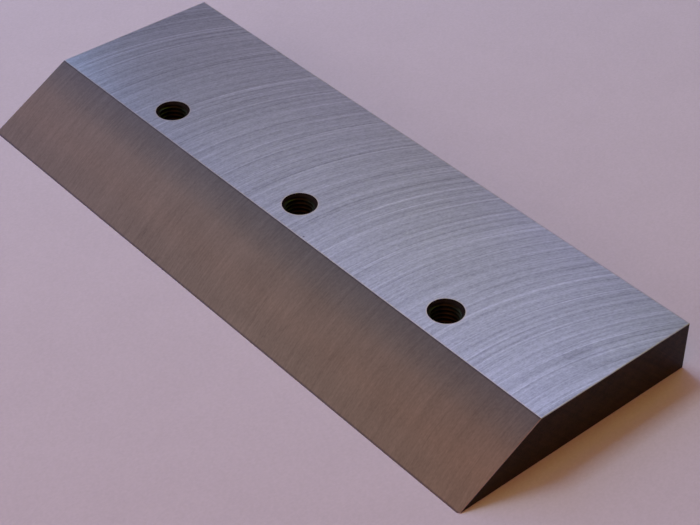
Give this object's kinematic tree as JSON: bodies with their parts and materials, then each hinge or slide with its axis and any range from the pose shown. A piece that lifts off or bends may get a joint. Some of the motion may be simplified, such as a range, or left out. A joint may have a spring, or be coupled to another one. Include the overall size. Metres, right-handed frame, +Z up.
{
  "type": "counter knife",
  "caption": "Flat bar of hardened steel, ground on its long faces, with one long bevelled cutting edge, a row of three tapped mounting holes behind the bevel, and ends left dark from the hardening.",
  "frame": {"origin": "middle of the underside's bounding rectangle, halfway from the cutting edge to the back face and halfway along the bar", "axes": "+X along the cutting edge, +Y from the cutting edge towards the back face, +Z up from the seat to the top face"},
  "size_m": [0.257, 0.1, 0.019],
  "materials": {
    "ground_steel": "surface ground, with the arcs of a cup wheel across the flat faces and finer arcs up the bevel; the ends and the holes keep the dark brown scale of the hardening"
  },
  "bodies": {
    "root": {"counter_knife": "ground_steel"}
  },
  "joints": []
}
